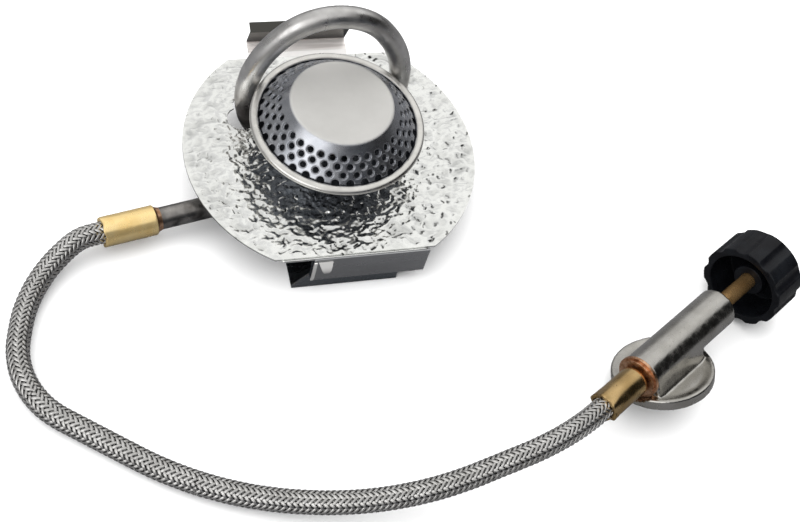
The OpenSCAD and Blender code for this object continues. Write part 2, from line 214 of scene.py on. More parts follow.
def in_order(points, start):
    """Points sorted into a chain from the one nearest start, without repeats."""
    left = list(points)
    chain = [min(left, key=lambda p: np.linalg.norm(p - start))]
    while left:
        nearest = min(left, key=lambda p: np.linalg.norm(p - chain[-1]))
        left = [p for p in left if p is not nearest]
        if np.linalg.norm(nearest - chain[-1]) > RING_GAP * MM:
            chain.append(nearest)
    return np.array(chain)


def joint(name):
    return next(j for j in frame["joints"] if j["name"] == name)


# ---- Materials ----

class Finish:
    """A node material in the making. Each method adds a node and returns its output."""

    def __init__(self, name, metallic=1.0, roughness=0.3):
        self.material = bpy.data.materials.new(name)
        self.material.use_nodes = True
        self.tree = self.material.node_tree
        self.shader = self.tree.nodes["Principled BSDF"]
        self.shader.inputs["Metallic"].default_value = metallic
        self.shader.inputs["Roughness"].default_value = roughness

    def node(self, kind, **inputs):
        made = self.tree.nodes.new("ShaderNode" + kind)
        for key, value in inputs.items():
            self.link(made.inputs[key], value)
        return made

    def link(self, socket, value):
        if isinstance(value, bpy.types.NodeSocket):
            self.tree.links.new(value, socket)
        else:
            socket.default_value = value

    def place(self, stretch=(1, 1, 1)):
        """The object's own coordinates in millimetres, stretched."""
        coordinates = self.node("TexCoord").outputs["Object"]
        mapping = self.node("Mapping", Vector=coordinates)
        mapping.inputs["Scale"].default_value = [k / MM for k in stretch]
        return mapping.outputs[0]

    def along(self, axis):
        """The object's coordinate along X, Y or Z, in millimetres."""
        return self.node("SeparateXYZ", Vector=self.place()).outputs[axis]

    def from_axis(self):
        """Distance from the Z axis in millimetres."""
        flat = self.node("VectorMath")
        flat.operation = "LENGTH"
        self.link(flat.inputs[0], self.place((1, 1, 0)))
        return flat.outputs["Value"]

    def attribute(self, name):
        """A value that the mesh holds at each point."""
        made = self.node("Attribute")
        made.attribute_name = name
        return made.outputs["Fac"]

    def noise(self, size, detail=2.0, stretch=(1, 1, 1), contrast=1.0):
        """Noise of about this size in millimetres, from 0 to 1."""
        made = self.node("TexNoise", Vector=self.place(stretch), Scale=1 / size, Detail=detail)
        if contrast == 1.0:
            return made.outputs["Fac"]
        return self.between(made.outputs["Fac"], 0.5 - 0.5 / contrast, 0.5 + 0.5 / contrast)

    def between(self, value, low, high, to_low=0.0, to_high=1.0):
        """Maps a value from one range to another, clamped."""
        made = self.node("MapRange", Value=value)
        made.interpolation_type = "SMOOTHSTEP"
        for key, number in (("From Min", low), ("From Max", high), ("To Min", to_low),
                            ("To Max", to_high)):
            made.inputs[key].default_value = number
        return made.outputs[0]

    def calc(self, operation, a, b=0.0):
        made = self.node("Math")
        made.operation = operation
        self.link(made.inputs[0], a)
        self.link(made.inputs[1], b)
        return made.outputs[0]

    def mix(self, factor, a, b):
        """Colour a where factor is 0 and colour b where it is 1."""
        made = self.node("Mix")
        made.data_type = "RGBA"
        self.link(made.inputs["Factor"], factor)
        self.link(made.inputs[6], a if isinstance(a, bpy.types.NodeSocket) else (*a, 1))
        self.link(made.inputs[7], b if isinstance(b, bpy.types.NodeSocket) else (*b, 1))
        return made.outputs[2]

    def colour(self, value):
        self.link(self.shader.inputs["Base Color"],
                  value if isinstance(value, bpy.types.NodeSocket) else (*value, 1))

    def rough(self, value):
        self.link(self.shader.inputs["Roughness"], value)

    def bump(self, height, depth, edge=0.0):
        """Bump from a height of 0 to 1, depth millimetres deep, over edges rounded by edge millimetres."""
        made = self.node("Bump", Height=height)
        made.inputs["Distance"].default_value = depth * MM
        if edge:
            rounded = self.node("Bevel", Radius=edge * MM)
            rounded.samples = 6
            self.link(made.inputs["Normal"], rounded.outputs[0])
        self.link(self.shader.inputs["Normal"], made.outputs[0])


def satin_steel():
    """Pressed stainless steel with a fine matt grain."""
    f = Finish("satin_steel", roughness=0.34)
    f.colour(f.mix(f.noise(9, 3, contrast=2), (0.50, 0.485, 0.46), (0.60, 0.585, 0.56)))
    f.rough(f.between(f.noise(2.5, 4), 0.3, 0.7, 0.27, 0.40))
    f.bump(f.noise(0.8, 2), 0.008)
    return f.material


def cap_steel():
    """The cap: an evenly frosted disc, and a smoother cone painted a darker blue-grey as painted shade."""
    f = Finish("cap_steel", metallic=0.97)
    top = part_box("burner_cap")[1].z / MM
    disc = f.between(f.along("Z"), top - 0.55, top - 0.05)
    # Painted shade: the cone is painted a darker blue-grey than the disc.
    cone = f.mix(f.noise(6, 3, contrast=2), (0.38, 0.395, 0.43), (0.50, 0.51, 0.54))
    frosted = f.mix(f.noise(14, 2, contrast=2), (0.77, 0.76, 0.735), (0.81, 0.80, 0.775))
    f.colour(f.mix(disc, cone, frosted))
    f.rough(f.calc("ADD", f.between(f.noise(2.5, 4), 0.3, 0.7, 0.25, 0.31),
                   f.calc("MULTIPLY", disc, 0.30)))
    f.bump(f.noise(0.9, 2), 0.006, edge=0.7)
    return f.material


RIM_H = 3.2                 # height of the bowl's rolled rim
RIM_W = 3.0                 # width of the rim's bright top


def bowl_steel():
    """The same steel, dark blue-grey below and inside the rolled rim."""
    f = Finish("bowl_steel", roughness=0.30)
    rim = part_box("burner_bowl")[1] / MM
    rim_base, rim_inside = rim.z - RIM_H, rim.x - RIM_W
    tint = f.mix(f.noise(5, 3, contrast=2), (0.085, 0.095, 0.115), (0.19, 0.20, 0.225))
    steel = f.mix(f.noise(7, 3, contrast=2), (0.66, 0.645, 0.615), (0.80, 0.785, 0.75))
    outside = f.between(f.from_axis(), rim_inside - 0.1, rim_inside + 0.4)
    above = f.between(f.along("Z"), rim_base - 1, rim_base + 0.4)
    f.colour(f.mix(f.calc("MULTIPLY", outside, above), tint, steel))
    f.rough(f.between(f.noise(2.5, 4), 0.3, 0.7, 0.26, 0.40))
    f.bump(f.noise(0.8, 2), 0.010)
    return f.material


BLACK_ENDS = (15, 24)       # heights between which the tube's brazed black fades to brown
BROWN_ENDS = (26, 42)       # heights between which the brown fades to satin
FADE_WANDER = 10            # how far the fades wander up and down


def tube_steel():
    """Drawn steel tube: satin over the flame, browned at the legs, black where it was brazed."""
    f = Finish("tube_steel", roughness=0.36)
    satin = f.mix(f.noise(6, 4, contrast=2.2), (0.55, 0.54, 0.525), (0.74, 0.73, 0.715))
    brown = f.mix(f.noise(4, 4, contrast=2), (0.30, 0.275, 0.255), (0.47, 0.45, 0.425))
    black = f.mix(f.noise(6, 3, contrast=2.6), (0.045, 0.042, 0.040), (0.32, 0.31, 0.30))
    height = f.calc("ADD", f.along("Z"), f.calc("MULTIPLY", f.noise(8, 3), FADE_WANDER))
    legs = f.mix(f.between(height, *BROWN_ENDS), brown, satin)
    f.colour(f.mix(f.between(height, *BLACK_ENDS), black, legs))
    f.rough(f.between(f.noise(3, 4, (1, 1, 0.4)), 0.3, 0.7, 0.26, 0.42))
    f.bump(f.noise(0.9, 3, (1, 1, 0.5)), 0.016)
    return f.material


def hammered_sheet():
    """Bright embossed sheet, painted darker in its hollows as painted shade, and near black at the bottom
    of each dent from dirt and painted shade.
    """
    f = Finish("hammered_sheet", roughness=0.17)
    bright = f.mix(f.noise(12, 3, contrast=2), (0.80, 0.805, 0.785), (0.90, 0.905, 0.885))
    # Painted shade: the hollows between the ridges are painted darker.
    bright = f.mix(f.attribute("hollow"), bright, (0.58, 0.585, 0.57))
    # Dirt and painted shade: the bottom of each dent is painted near black.
    dirt_and_painted_shade = f.calc("MULTIPLY", f.between(f.attribute("dent"), 0.22, 0.80),
                  f.between(f.noise(7, 2), 0.38, 0.60, 0.35, 1.0))
    f.colour(f.mix(dirt_and_painted_shade, bright, (0.050, 0.050, 0.046)))
    f.rough(f.between(f.noise(3, 3), 0.3, 0.7, 0.12, 0.24))
    f.bump(f.noise(1.6, 2, contrast=1.6), 0.05)
    return f.material


def sheet_steel(name, dark, light, roughness, metallic=1.0):
    """Rolled sheet steel with faint streaks along its width."""
    f = Finish(name, metallic=metallic, roughness=roughness)
    f.colour(f.mix(f.noise(9, 3, (0.25, 1, 1), contrast=1.5), dark, light))
    f.rough(f.between(f.noise(2, 3, (0.2, 1, 1)), 0.3, 0.7, roughness - 0.04, roughness + 0.05))
    f.bump(f.noise(1.5, 2, (0.15, 1, 1)), 0.006)
    return f.material


LEDGE_Y = 54.0              # where the rear clip's foot turns level
WALL_H = 10.6               # height of the rear clip's wall and tab over its ledge


def spring_sheet():
    """The rear clip: bright sheet with a rosy, streaked ledge, and its upright wall painted near black as
    painted shade, darkest at its foot.
    """
    f = Finish("spring_sheet", roughness=0.2)
    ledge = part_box("rear_clip")[1].z / MM - WALL_H
    bright = f.mix(f.noise(9, 2, (0.25, 1, 1)), (0.80, 0.775, 0.75), (0.90, 0.885, 0.865))
    rosy = f.mix(f.noise(0.9, 2, (0.03, 1, 1), contrast=2), (0.60, 0.555, 0.53), (0.86, 0.82, 0.79))
    bright = f.mix(f.between(f.along("Y"), LEDGE_Y - 0.6, LEDGE_Y + 0.4), bright, rosy)
    # Painted shade: the upright wall is painted near black, darkest just over the ledge.
    wall_painted_shade = f.mix(f.between(f.along("Z"), ledge + 0.6, ledge + 7), (0.012, 0.011, 0.010),
                   (0.085, 0.083, 0.075))
    wall = f.between(f.along("Z"), ledge - 0.5, ledge + 0.2)
    f.colour(f.mix(wall, bright, wall_painted_shade))
    f.link(f.shader.inputs["Metallic"], f.calc("ADD", 0.15, f.calc("MULTIPLY", wall, 0.85)))
    f.rough(f.between(f.noise(2.5, 3, (0.2, 1, 1)), 0.3, 0.7, 0.16, 0.26))
    f.bump(f.noise(2, 2, (0.15, 1, 1)), 0.008)
    return f.material


def brass(name, dull, bright, pitting, metallic=1.0, grain=0.010):
    """Turned brass. pitting is how much of it has brown spots, 0 to 1; grain is its bump's depth."""
    f = Finish(name, metallic=metallic, roughness=0.24)
    clean = f.mix(f.noise(7, 3, contrast=2), dull, bright)
    pits = f.between(f.noise(0.9, 3), 0.72 - 0.10 * pitting, 0.78 - 0.08 * pitting)
    patches = f.calc("MULTIPLY", pits, f.between(f.noise(4, 2), 0.62 - 0.2 * pitting, 0.7))
    f.colour(f.mix(patches, clean, (0.14, 0.075, 0.03)))
    f.rough(f.between(f.noise(3, 4), 0.3, 0.7, 0.19, 0.30))
    f.bump(f.noise(1.2, 2), grain)
    return f.material


def copper():
    """Brazed copper, pink to orange, with a dull skin."""
    f = Finish("copper", roughness=0.34)
    f.colour(f.mix(f.noise(1.6, 3, contrast=2), (0.38, 0.18, 0.09), (0.80, 0.50, 0.32)))
    f.rough(f.between(f.noise(1.2, 3), 0.3, 0.7, 0.26, 0.44))
    f.bump(f.noise(0.8, 3), 0.03)
    return f.material


def braid_wire():
    """Bright wires: their bundles are in the mesh, and a bundle's wires are lines along it; the dark lines
    between wires and each bundle's near-black sides are painted shade.
    """
    f = Finish("braid_wire", roughness=0.26)
    across = f.node("SeparateXYZ", Vector=f.node("TexCoord").outputs["UV"]).outputs["X"]
    wires = f.calc("ABSOLUTE", f.calc("SINE", f.calc("MULTIPLY", across, WIRES * math.pi)))
    edge = f.calc("ABSOLUTE", f.calc("SUBTRACT", across, 0.5))
    steel = f.mix(f.noise(5, 3, contrast=2), (0.60, 0.59, 0.57), (0.84, 0.83, 0.81))
    # Painted shade: dark lines between the wires.
    lined = f.mix(f.between(wires, 0.05, 0.45), (0.30, 0.295, 0.285), steel)
    # Painted shade: each bundle is painted near black along its sides.
    f.colour(f.mix(f.between(edge, 0.30, 0.50), lined, (0.035, 0.034, 0.033)))
    f.rough(f.between(f.noise(1.4, 3), 0.3, 0.7, 0.18, 0.32))
    f.bump(wires, 0.03)
    return f.material


def nickel_casting():
    """Nickel-plated casting with a faint orange peel and scattered pits."""
    f = Finish("nickel_casting", roughness=0.25)
    plate = f.mix(f.noise(9, 3, contrast=2), (0.42, 0.405, 0.375), (0.54, 0.525, 0.495))
    pits = f.between(f.noise(0.8, 2), 0.72, 0.78)
    f.colour(f.mix(pits, plate, (0.10, 0.09, 0.075)))
    f.rough(f.between(f.noise(2.5, 4), 0.3, 0.7, 0.15, 0.30))
    skin = f.calc("SUBTRACT", f.noise(1.8, 3), f.calc("MULTIPLY", pits, 0.8))
    f.bump(skin, 0.02)
    return f.material


def rubber():
    """Black rubber with a dusty bloom."""
    f = Finish("rubber", metallic=0.0, roughness=0.7)
    f.colour(f.mix(f.noise(2, 4, contrast=2), (0.012, 0.012, 0.012), (0.035, 0.034, 0.033)))
    f.bump(f.noise(0.4, 3), 0.03)
    return f.material


def black_plastic():
    """Moulded black plastic with a fine grain and a slight sheen."""
    f = Finish("black_plastic", metallic=0.0, roughness=0.38)
    f.colour(f.mix(f.noise(7, 3, contrast=2), (0.003, 0.003, 0.004), (0.007, 0.008, 0.010)))
    f.rough(f.between(f.noise(3, 4), 0.3, 0.7, 0.24, 0.40))
    f.shader.inputs["Specular IOR Level"].default_value = 0.17
    f.bump(f.noise(0.6, 2), 0.012)
    return f.material


# ---- Hammered shield ----

SHEET = 0.8                 # thickness of the sheet
HUB_R = 7.6                 # radius of the centre hole
FLAT_EDGE = 2.2             # width over which the embossing fades out at the sheet's edge
FLAT_HUB = (10, 3)          # radius where it starts from the centre, and width over which it grows
SHIELD_STEP = 0.32          # spacing of the mesh's points
LEG_HOLE_R = 4.8            # keyhole round a leg of the tube
FRONT_HOLE_R = 5.2          # the keyhole's open part, in front of the leg
FRONT_HOLE_AT = (2.6, -6.0)
LEFT_LEG_IN = 0.7           # how far the left leg leans in where it crosses the shield
TUBE_R = 4.0                # outside radius of the gas tube
DENT_GAP = 3.6              # mean distance between dents
DENT_HALF = 0.38            # half width of a dent
DENT_REACH = 2.8            # no dent goes further than this from its middle, along X or Y
DENT_DEPTH = 0.42
FACE_GAP = 0.02             # how far the embossed face lies under the CAD's
HOLLOW = 0.45               # depth at which a hollow between ridges gets its full painted shade
HEM_R = 0.5                 # radius of the rolled hem under the front flat
HEM_OUT = 0.8               # how far the hem stands out from the sheet's edge


def shield_holes():
    """Centre and radius of each circle that the keyholes are made of."""
    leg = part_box("vaporiser_tube")[1] / MM - Vector((TUBE_R, TUBE_R, 0))
    holes = []
    for side, x in ((-1, -leg.x + LEFT_LEG_IN), (1, leg.x)):
        holes.append((x, leg.y, LEG_HOLE_R))
        holes.append((x + side * FRONT_HOLE_AT[0], leg.y + FRONT_HOLE_AT[1], FRONT_HOLE_R))
    return holes


def fbm(x, y, size, seed, octaves=2):
    """Smooth noise of about this size at each point."""
    out = np.zeros(len(x))
    for k in range(octaves):
        scale = 2 ** k / size
        out += np.array([noise.noise((a * scale, b * scale, seed + 7.7 * k))
                         for a, b in zip(x, y)]) / 2 ** k
    return out


def dent_marks(radius):
    """The crooked middle line of each dent and its depth, on a jittered grid, fainter to the left."""
    draw = np.random.RandomState(11)
    reach = int(radius / DENT_GAP) + 1
    marks = []
    for i in range(-reach, reach + 1):
        for j in range(-reach, reach + 1):
            middle = (np.array([i, j]) + draw.uniform(-0.42, 0.42, 2)) * DENT_GAP
            turn, bend = draw.uniform(0.2, 2.4), draw.uniform(-0.7, 0.7)
            half, depth = draw.uniform(0.1, 1.15), draw.uniform(0.25, 1.0)
            depth *= 0.55 + 0.45 * min(1.0, max(0.0, (middle[0] + 45) / 55))
            first = middle + half * np.array([math.cos(turn - bend), math.sin(turn - bend)])
            last = middle - half * np.array([math.cos(turn + bend), math.sin(turn + bend)])
            marks.append(((first, middle, last), depth))
    return marks


def dent_share(x, y, radius):
    """How deep in a dent each point is, from 0 to 1."""
    share = np.zeros(len(x))
    for mark, depth in dent_marks(radius):
        near = np.flatnonzero((np.abs(x - mark[1][0]) < DENT_REACH)
                              & (np.abs(y - mark[1][1]) < DENT_REACH))
        place = np.stack([x[near], y[near]], 1)
        for a, b in zip(mark, mark[1:]):
            run = b - a
            along = np.clip((place - a) @ run / (run @ run), 0, 1)
            gap = np.linalg.norm(place - a - along[:, None] * run, axis=1)
            share[near] = np.maximum(share[near], depth * np.exp(-(gap / DENT_HALF) ** 2))
    return share


def hammered_height(x, y):
    """Height of the embossing between the dents: soft ridges that flow into each other."""
    bend_x = x + 1.6 * fbm(x, y, 8, 3.1, 1)
    bend_y = y + 1.6 * fbm(x, y, 8, 8.4, 1)
    ridges = fbm(bend_x * 0.8 + bend_y * 0.6, bend_y * 1.3 - bend_x * 0.5, 3.4, 1.3)
    return 0.40 * ridges + 0.26 * fbm(x, y, 8, 5.5, 1)


def shield_outline(angle, radius, front, back):
    """Distance from the axis to the shield's edge at an angle."""
    sine = math.sin(angle)
    flat = front if sine < 0 else back
    return min(radius, flat / abs(sine)) if abs(sine) > 1e-6 else radius


def shield_grid(radius, front, back):
    """Rows of points from the centre hole to the edge, and how far each is embossed, 0 to 1."""
    spokes = int(TAU * radius / SHIELD_STEP)
    rows = int((radius - HUB_R) / SHIELD_STEP)
    angle = np.arange(spokes) * TAU / spokes
    edge = np.array([shield_outline(a, radius, front, back) for a in angle])
    share = np.linspace(0, 1, rows)[:, None]
    span = HUB_R + share * (edge - HUB_R)[None, :]
    x, y = (span * np.cos(angle)).ravel(), (span * np.sin(angle)).ravel()
    from_edge = np.clip((edge[None, :] - span) / FLAT_EDGE, 0, 1).ravel()
    from_hub = np.clip((span - FLAT_HUB[0]) / FLAT_HUB[1], 0, 1).ravel()
    return rows, spokes, x, y, from_edge * from_hub


def cut_keyholes(x, y):
    """Moves the points near a keyhole's edge onto it, and tells which points are inside one."""
    gone = np.zeros(len(x), bool)
    for hole_x, hole_y, hole_r in shield_holes():
        away = np.hypot(x - hole_x, y - hole_y)
        near = np.abs(away - hole_r) < SHIELD_STEP * 0.75
        push = np.where(near, hole_r / np.maximum(away, 1), 1)
        x, y = hole_x + (x - hole_x) * push, hole_y + (y - hole_y) * push
        gone |= (away < hole_r) & ~near
    return x, y, gone


def grid_faces(rows, spokes, gone):
    """Quads between the rows of points, but for those with a corner that is gone."""
    faces = []
    for i in range(rows - 1):
        for j in range(spokes):
            a, b = i * spokes + j, i * spokes + (j + 1) % spokes
            if not (gone[a] or gone[b] or gone[a + spokes] or gone[b + spokes]):
                faces.append((a, b, b + spokes, a + spokes))
    return faces


def hammered_shield(material):
    """The heat shield as an embossed sheet, with keyholes round the tube's legs."""
    low, high = (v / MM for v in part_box("heat_shield"))
    rows, spokes, x, y, embossed = shield_grid(high.x, -low.y - HEM_OUT, high.y)
    x, y, gone = cut_keyholes(x, y)
    dent, ridge = dent_share(x, y, high.x), hammered_height(x, y)
    top = high.z + (ridge - DENT_DEPTH * dent) * embossed
    points = np.vstack([np.stack([x, y, top - under], 1) for under in (FACE_GAP, SHEET)])
    sheet = faces_with_sides(grid_faces(rows, spokes, gone), len(x))
    used = sorted({v for f in sheet for v in f})
    renumber = {v: k for k, v in enumerate(used)}
    piece = new_piece("hammered_shield", points[used] * MM, [[renumber[v] for v in f] for f in sheet])
    for name, value in (("dent", dent), ("hollow", np.clip(-ridge / HOLLOW, 0, 1))):
        layer = piece.data.attributes.new(name, "FLOAT", "POINT")
        layer.data.foreach_set("value", np.tile(value, 2)[used].astype(np.float32))
    shade_by_angle(piece, 60)
    finish_piece(piece, material, "burner", "hammered_sheet", "heat_shield")


def shield_hem(material):
    """The rolled hem under the shield's front flat."""
    low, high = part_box("heat_shield")
    front, radius = -low.y / MM, high.x / MM
    half = math.sqrt(radius ** 2 - front ** 2) - 1.0
    points, steps = 16, 60
    rings = []
    for x in np.linspace(-half, half, steps):
        wave = 0.06 * noise.noise((x * 0.12, 2.5, 0.0))
        shrink = min(1.0, 0.35 + (half - abs(x)) / 1.5)
        for k in range(points):
            a = TAU * k / points
            rings.append((x, -front + HEM_R + HEM_R * shrink * math.cos(a),
                          high.z / MM - SHEET - 0.6 * HEM_R + wave + HEM_R * shrink * math.sin(a)))
    piece = new_piece("shield_hem", np.array(rings) * MM, loop_faces(steps, points, True))
    finish_piece(piece, material, "burner", "hammered_sheet")


def bent_strip(name, left, right, line, thickness, material):
    """A strip of sheet that follows a line of (y, z) points, between its left and right edges.

    left and right are each two values of x, at the line's start and at its end; all in millimetres.
    """
    line = np.array(line, float)
    run = np.gradient(line, axis=0)
    run /= np.linalg.norm(run, axis=1)[:, None]
    out = np.stack([-run[:, 1], run[:, 0]], 1) * thickness / 2
    outline = np.vstack([line + out, (line - out)[::-1]])
    share = np.linspace(0, 1, len(line))
    share = np.concatenate([share, share[::-1]])
    rings = [(first + (last - first) * k, y, z) for first, last in (left, right)
             for k, (y, z) in zip(share, outline)]
    piece = new_piece(name, np.array(rings) * MM, loop_faces(2, len(outline), True), smooth=False)
    shade_by_angle(piece, 40)
    finish_piece(piece, material, "burner", "bright_sheet")


TONGUE_DROP = 7.5           # how far the tongue hangs down
TONGUE_OUT = 1.5            # how far it stands out at its middle


def clip_trim(material):
    """The front clip's turned left edge, and the tongue that is folded out beside it."""
    low, high = (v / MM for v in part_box("front_clip"))
    edge = [(low.y - 0.1, low.z + 0.4), (low.y - 0.5, low.z + 2.5), (low.y - 0.5, high.z - 1)]
    bent_strip("clip_turned_edge", (low.x - 0.2,) * 2, (low.x + 0.9,) * 2, edge, 0.5, material)
    tongue = [(low.y - 0.2 - TONGUE_OUT * math.sin(a), high.z - 1.2 - TONGUE_DROP * a / math.pi)
              for a in np.linspace(0, math.pi, 14)]
    bent_strip("clip_tongue", (low.x + 1.4, low.x + 4.6), (low.x + 6.6, low.x + 5.4), tongue, 0.35,
               material)


# ---- Cap ----

HOLES = 33                  # flame holes in a row
HOLE_R = 1.4
ROWS = 3                    # rows of whole holes
ROW_FIRST = 3.4             # slant distance from the cap's edge to the first whole row
ROW_STEP = 2.9
# The section of a hole's lip: height over the cone, and distance past the hole's radius
LIP = [(0.00, 0.26), (0.05, 0.20), (0.07, 0.12), (0.03, 0.02), (-0.10, -0.11), (-0.27, -0.25),
       (-0.48, -0.37), (-0.80, -0.46), (-0.84, -0.38), (-0.46, -0.22), (-0.20, -0.08), (-0.12, -0.03)]


def hole_collars(material):
    """The raised lips that punching left round the flame holes."""
    low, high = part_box("burner_cap")
    edge, base = high.x / MM, low.z / MM
    steps = 24
    vertices, faces = [], []
    for row in range(ROWS):
        slant = (ROW_FIRST + row * ROW_STEP) / math.sqrt(2)
        for i in range(HOLES):
            turn = Matrix.Rotation(TAU * (i + row / 2) / HOLES, 3, "Z")
            centre = Vector((edge - slant, 0, base + slant))
            normal, side = Vector((1, 0, 1)).normalized(), Vector((-1, 0, 1)).normalized()
            first = len(vertices)
            for k in range(steps):
                angle = TAU * k / steps
                spoke = side * math.cos(angle) + Vector((0, 1, 0)) * math.sin(angle)
                for height, past in LIP:
                    point = centre + spoke * (HOLE_R + past) + normal * height
                    vertices.append(turn @ point * MM)
            faces += [tuple(first + v for v in f) for f in loop_faces(steps, len(LIP))]
    piece = new_piece("flame_hole_collars", vertices, faces)
    finish_piece(piece, material, "burner", "satin_steel")


# ---- Hose ----

BRAID_R = 4.0               # outside radius of the braid
STRANDS = 12                # bundles that wind each way
LEAD = 23.0                 # length in which a bundle goes once round
BUNDLE_HALF = 0.63          # half width of a bundle
BUNDLE_T = 0.44             # thickness of a bundle
# A bundle's section: across as a share of its half width, and height as a share of its thickness
BUNDLE_SECTION = [(-1, -0.3), (-0.6, 0.28), (0, 0.5), (0.6, 0.28), (1, -0.3), (0, -0.5)]
ACROSS = [0, 0.22, 0.5, 0.78, 1, 0.5]       # the same points from 0 to 1, for the wires
WEAVE = 0.19                # how far a bundle rises and dips
WIRES = 6                   # wires in a bundle
BRAID_STEP = 0.5            # spacing of the points along the hose


class Path:
    """The hose's centreline, resampled evenly, with a frame that doesn't twist."""

    def __init__(self, points):
        steps = np.linalg.norm(np.diff(points, axis=0), axis=1)
        length = np.concatenate([[0], np.cumsum(steps)])
        self.s = np.arange(0, length[-1], BRAID_STEP * MM)
        self.p = np.stack([np.interp(self.s, length, points[:, k]) for k in range(3)], 1)
        spread = 5
        kernel = np.ones(spread) / spread
        padded = np.pad(self.p, ((spread // 2, spread // 2), (0, 0)), mode="reflect",
                        reflect_type="odd")
        self.p = np.stack([np.convolve(padded[:, k], kernel, "valid") for k in range(3)], 1)
        self.t = np.gradient(self.p, axis=0)
        self.t /= np.linalg.norm(self.t, axis=1)[:, None]
        self.n = np.zeros_like(self.p)
        self.n[0] = axes_along(self.t[0])[0]
        for i in range(1, len(self.p)):
            n = self.n[i - 1] - self.t[i] * (self.n[i - 1] @ self.t[i])
            self.n[i] = n / np.linalg.norm(n)
        self.b = np.cross(self.t, self.n)

    def nearest(self, place):
        return int(np.argmin(np.linalg.norm(self.p - np.array(place), axis=1)))


def weave(x):
    """Over two, under two: +1 where a bundle is on top and -1 where it is below."""
    return np.clip(1.5 * np.cos(math.pi * (x - 0.5) / 2), -1, 1)


def bundle(path, first, last, k, hand):
    """The rings of points of one bundle between two samples of the path."""
    i = np.arange(first, last + 1)
    s = path.s[i] / MM
    phase = hand * TAU * s / LEAD + TAU * k / STRANDS
    lift = hand * weave(2 * k + hand * 2 * STRANDS * s / LEAD)
    middle = BRAID_R - BUNDLE_T / 2 - WEAVE
    radial = path.n[i] * np.cos(phase)[:, None] + path.b[i] * np.sin(phase)[:, None]
    centre = path.p[i] + radial * ((middle + WEAVE * lift) * MM)[:, None]
    run = np.gradient(centre, axis=0)
    run /= np.linalg.norm(run, axis=1)[:, None]
    side = np.cross(radial, run)
    side /= np.linalg.norm(side, axis=1)[:, None]
    rings = [centre + side * (w * BUNDLE_HALF * MM) + radial * (h * BUNDLE_T * MM)
             for w, h in BUNDLE_SECTION]
    return np.stack(rings, 1).reshape(-1, 3), len(i)


def braid_piece(path, name, first, last, material):
    """The woven braid between two samples of the path, bundle by bundle."""
    vertices, faces, across = [], [], []
    for hand in (1, -1):
        for k in range(STRANDS):
            points, rings = bundle(path, first, last, k, hand)
            start = sum(len(v) for v in vertices)
            vertices.append(points)
            faces += [tuple(start + v for v in f)
                      for f in loop_faces(rings, len(BUNDLE_SECTION), True)]
            across.append(np.tile(ACROSS, rings))
    piece = new_piece(name, np.vstack(vertices), faces)
    share = np.concatenate(across)
    layer = piece.data.uv_layers.new(name="across")
    corners = np.zeros(len(piece.data.loops), np.int32)
    piece.data.loops.foreach_get("vertex_index", corners)
    uv = np.stack([share[corners], np.zeros(len(corners))], 1)
    layer.data.foreach_set("uv", uv.ravel().astype(np.float32))
    finish_piece(piece, material, None, "steel_braid")
    return piece


def hose(material):
    """The braid in five pieces, each of which bends between two neighbouring lengths of hose."""
    start = np.array(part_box("hose_braid_1")[1])
    centres = [p for k in range(1, 7) for p in ring_centres(f"hose_braid_{k}", BRAID_R)]
    path = Path(in_order(centres, start))
    flex = [joint(f"hose_bend_{k}")["pos_m"] for k in range(1, 6)]
    at = [path.nearest(p) for p in flex]
    cuts = [0] + [(a + b) // 2 for a, b in zip(at, at[1:])] + [len(path.s) - 1]
    for k in range(5):
        piece = braid_piece(path, f"braid_length_{k + 1}", cuts[k], cuts[k + 1], material)
        stands_for = [f"hose_braid_{k + 1}"] + (["hose_braid_6"] if k == 4 else [])
        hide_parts(*stands_for)
        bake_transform(piece)


# ---- Ferrules ----

FERRULE_R = 5.4
FERRULE_BORE = 4.04
NIPPLE_BORE = 2.4           # bore of the valve's sleeve past the hose, round the nipple
MOUTH_LIP = 0.25            # rounding of a sleeve's ends
HOSE_IN = 6                 # length of hose inside a sleeve
CRIMP_LOBES = 6
CRIMP_REACH = 7             # length of a sleeve that the crimp changes


def sleeve_outline(length, bore_at_back):
    """A sleeve's closed outline, rounded at its ends, from its mouth at 0."""
    r, b, e = FERRULE_R, FERRULE_BORE, MOUTH_LIP
    outer = [(0, r - e), (0.08, r - 0.08), (e, r)]
    outer += [(s, r) for s in np.linspace(1, length - 1, 16)]
    outer += [(length - e, r), (length - 0.08, r - 0.08), (length, r - e)]
    inner = [(length, bore_at_back + e), (length - e, bore_at_back),
             (HOSE_IN + 0.2, bore_at_back), (HOSE_IN, b)]
    inner += [(s, b) for s in np.linspace(HOSE_IN - 1, 0.6, 6)] + [(0.1, b + 0.1)]
    return outer + inner


def crimp(depth):
    """Presses a sleeve's mouth into lobes, less and less over the crimp's reach."""
    def shape(s, r, angle):
        share = max(0.0, 1 - s / CRIMP_REACH) ** 2
        dent = 0.5 - 0.5 * math.cos(CRIMP_LOBES * angle)
        ripple = 0.05 * noise.noise((2.2 * math.cos(angle), 2.2 * math.sin(angle), s * 0.5))
        return s + 0.5 * share * dent, r + (0.28 - depth * dent) * share + ripple
    return shape


def tube_ends(node, radius):
    """The centres of a straight round node's two ends, the one at the lower X first."""
    centres = ring_centres(node, radius)
    return min(centres, key=lambda p: p[0]), max(centres, key=lambda p: p[0])


def ferrule(name, node, body, depth, material, back_bore):
    """A sleeve in the place of its CAD node, with the lobes of its crimp this deep."""
    mouth, back = tube_ends(node, FERRULE_R)
    length = np.linalg.norm(back - mouth) / MM
    piece = revolve(name, sleeve_outline(length, back_bore), mouth, back - mouth, 96, crimp(depth))
    shade_by_angle(piece, 40)
    finish_piece(piece, material, body, "brass", node)


# ---- Stage, light and camera ----

VIEW_AZIMUTH = math.radians(-29.584)
VIEW_ELEVATION = math.radians(55.996)
VIEW_ROLL = math.radians(19.784)
VIEW_DISTANCE = 476.6 * MM
VIEW_AIM = Vector((20.29, -40.58, 2.95)) * MM
LENS = 58.5


